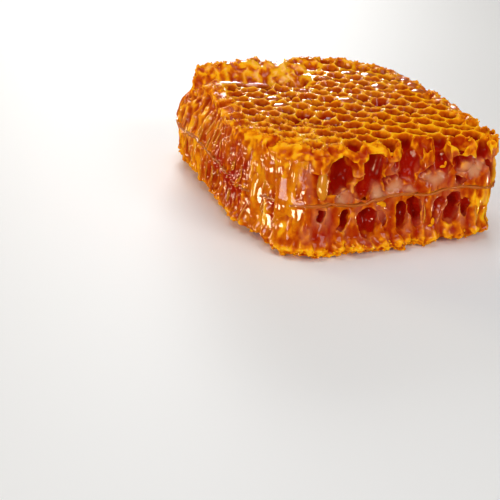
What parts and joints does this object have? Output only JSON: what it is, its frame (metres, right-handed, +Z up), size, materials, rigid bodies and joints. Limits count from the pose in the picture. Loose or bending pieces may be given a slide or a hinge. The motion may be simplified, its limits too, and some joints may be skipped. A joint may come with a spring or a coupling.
{
  "type": "honeycomb piece",
  "caption": "Thick slab of cut honeycomb with open six-sided wax cells on top, cells sliced open along the sides and a thin wavy midrib between the layers.",
  "frame": {"origin": "under the middle of the piece, on the surface it lies on", "axes": "+Z up through the thickness, +Y along the longer side towards the back, +X to the right along the front cut"},
  "size_m": [0.068, 0.0832, 0.028],
  "materials": {
    "comb": "golden beeswax soaked with honey, glossy and slightly translucent",
    "midrib": "thin brown wax sheet wet with honey",
    "honey": "deep amber honey, wet gloss"
  },
  "bodies": {
    "root": {"upper_cells": "comb", "midrib": "midrib", "lower_cells": "comb"}
  },
  "joints": []
}
